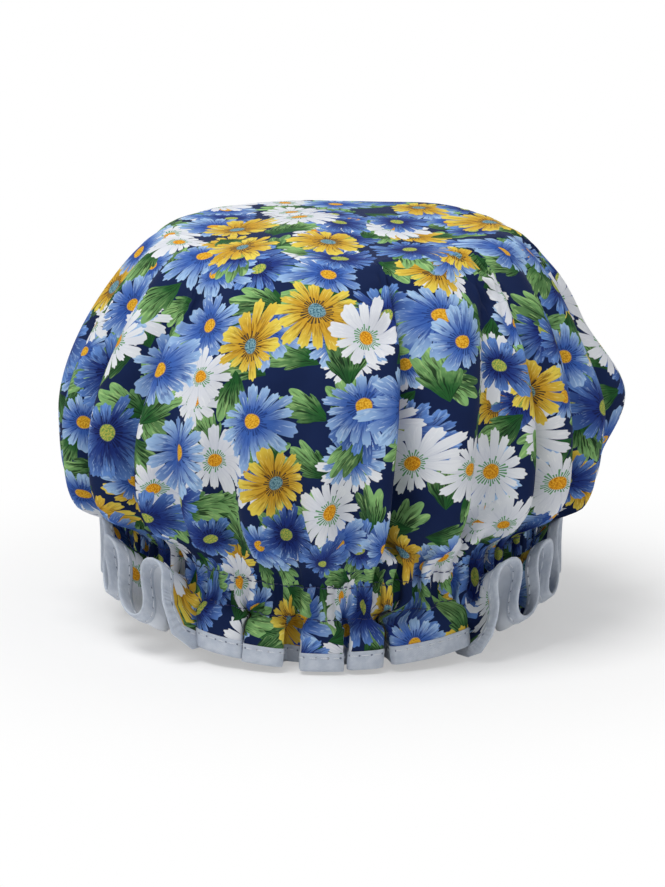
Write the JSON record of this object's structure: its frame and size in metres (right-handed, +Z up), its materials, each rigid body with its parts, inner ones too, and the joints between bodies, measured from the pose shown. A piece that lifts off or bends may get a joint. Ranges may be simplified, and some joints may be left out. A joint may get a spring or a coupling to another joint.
{
  "type": "shower cap",
  "caption": "Puffed shower cap of daisy-printed cloth over a waterproof lining, gathered by an elastic band above a bound ruffled hem",
  "frame": {"origin": "middle of the bounding box's foot, on the surface that the hem stands on", "axes": "+Z up through the crown, -Y towards the viewer of the picture, +X to that viewer's right"},
  "size_m": [0.2398, 0.2184, 0.172],
  "materials": {
    "printed_cotton": "matt printed cotton, daisies on navy",
    "waterproof_sheet": "soft satin waterproof film",
    "elastic": "braided white elastic",
    "pale_tape": "woven pale grey tape",
    "pale_thread": "spun sewing thread",
    "navy_thread": "spun sewing thread"
  },
  "bodies": {
    "root": {"outer_cloth": "printed_cotton", "lining": "waterproof_sheet", "elastic_band": "elastic", "elastic_tack": "pale_thread", "upper_needle_thread": "navy_thread", "upper_bobbin_thread": "pale_thread", "lower_needle_thread": "navy_thread", "lower_bobbin_thread": "pale_thread", "edge_binding": "pale_tape", "binding_needle_thread": "pale_thread", "binding_bobbin_thread": "pale_thread"}
  },
  "joints": []
}
